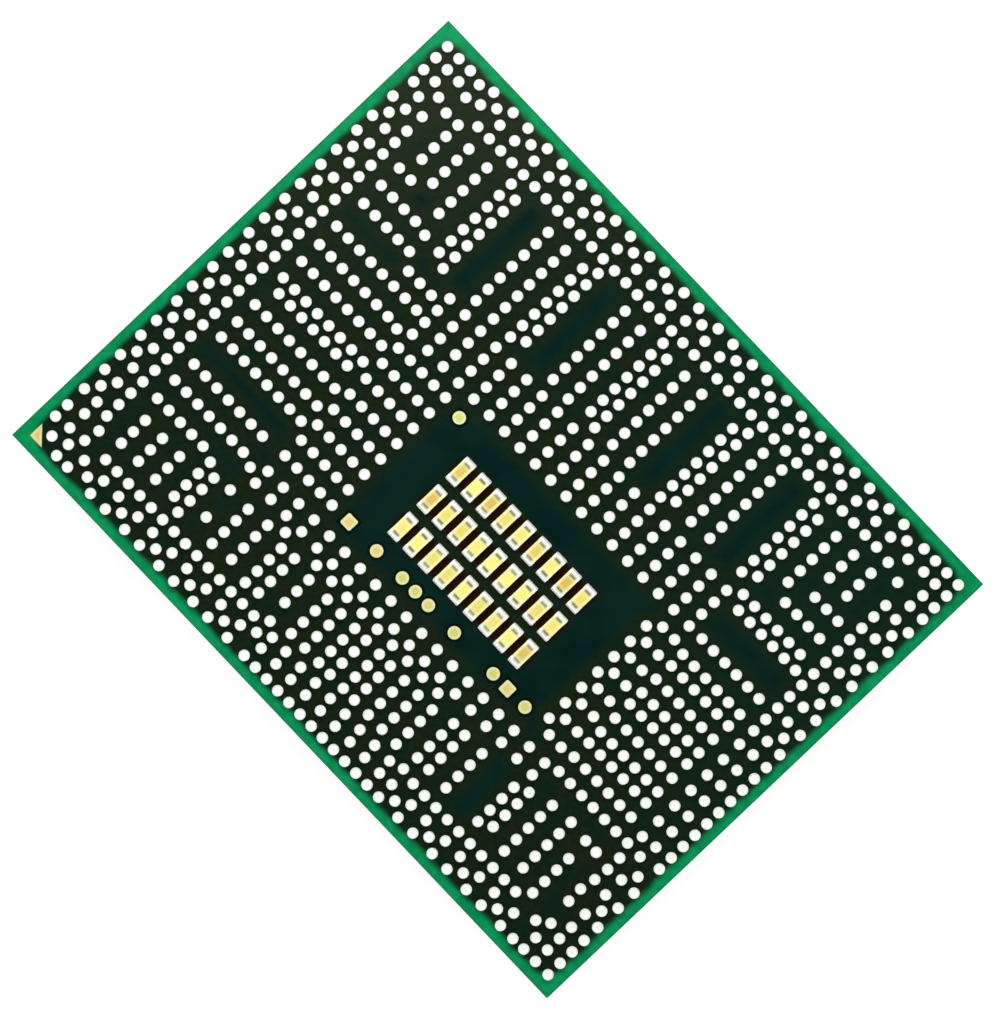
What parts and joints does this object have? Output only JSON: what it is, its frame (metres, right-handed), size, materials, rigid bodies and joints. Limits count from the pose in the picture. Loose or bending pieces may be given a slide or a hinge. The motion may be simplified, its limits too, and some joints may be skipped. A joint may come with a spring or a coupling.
{
  "type": "ball grid array processor package",
  "caption": "Flat flip-chip package lying on its silicon die, with an irregular solder ball map, chip capacitors in a clear middle, bare test pads and a pin 1 triangle.",
  "frame": {"origin": "middle of the silicon die's outer face, which the package rests on; also the middle of the package outline", "axes": "+X along the long side, +Y along the short side, +Z from the die face towards the solder balls; the pin 1 corner is at -X -Y"},
  "size_m": [0.031, 0.024, 0.0023],
  "materials": {
    "laminate": "satin",
    "silicon": "polished",
    "resin": "satin",
    "solder": "satin",
    "tinned_ends": "satin",
    "capacitor_ceramic": "satin",
    "gold_plating": "satin"
  },
  "bodies": {
    "root": {"capacitor_a1": "capacitor_ceramic", "capacitor_a2": "capacitor_ceramic", "capacitor_a3": "capacitor_ceramic", "capacitor_a4": "capacitor_ceramic", "capacitor_a5": "capacitor_ceramic", "capacitor_a6": "capacitor_ceramic", "capacitor_a7": "capacitor_ceramic", "capacitor_a8": "capacitor_ceramic", "capacitor_a9": "capacitor_ceramic", "capacitor_b1": "capacitor_ceramic", "capacitor_b2": "capacitor_ceramic", "capacitor_b3": "capacitor_ceramic", "capacitor_b4": "capacitor_ceramic", "capacitor_b5": "capacitor_ceramic", "capacitor_b6": "capacitor_ceramic", "capacitor_b7": "capacitor_ceramic", "capacitor_b8": "capacitor_ceramic", "capacitor_b9": "capacitor_ceramic", "capacitor_c1": "capacitor_ceramic", "capacitor_c2": "capacitor_ceramic", "capacitor_c3": "capacitor_ceramic", "capacitor_c4": "capacitor_ceramic", "capacitor_c5": "capacitor_ceramic", "capacitor_c6": "capacitor_ceramic", "capacitor_c7": "capacitor_ceramic", "capacitor_c8": "capacitor_ceramic", "capacitor_c9": "capacitor_ceramic", "capacitor_ends_a": "tinned_ends", "capacitor_ends_b": "tinned_ends", "capacitor_ends_c": "tinned_ends", "pin_1_mark": "gold_plating", "silicon_die": "silicon", "solder_balls_corners": "solder", "solder_balls_east_edge": "solder", "solder_balls_east_grid": "solder", "solder_balls_east_rows": "solder", "solder_balls_north_columns": "solder", "solder_balls_north_edge": "solder", "solder_balls_north_grid": "solder", "solder_balls_south_columns": "solder", "solder_balls_south_edge": "solder", "solder_balls_south_grid": "solder", "solder_balls_west_edge": "solder", "solder_balls_west_grid": "solder", "solder_balls_west_rows": "solder", "substrate": "laminate", "test_pad_1": "gold_plating", "test_pad_2": "gold_plating", "test_pad_3": "gold_plating", "test_pad_4": "gold_plating", "test_pad_5": "gold_plating", "test_pad_6": "gold_plating", "test_pad_7": "gold_plating", "test_pad_8": "gold_plating", "test_pad_square_1": "gold_plating", "test_pad_square_2": "gold_plating", "underfill": "resin"}
  },
  "joints": []
}
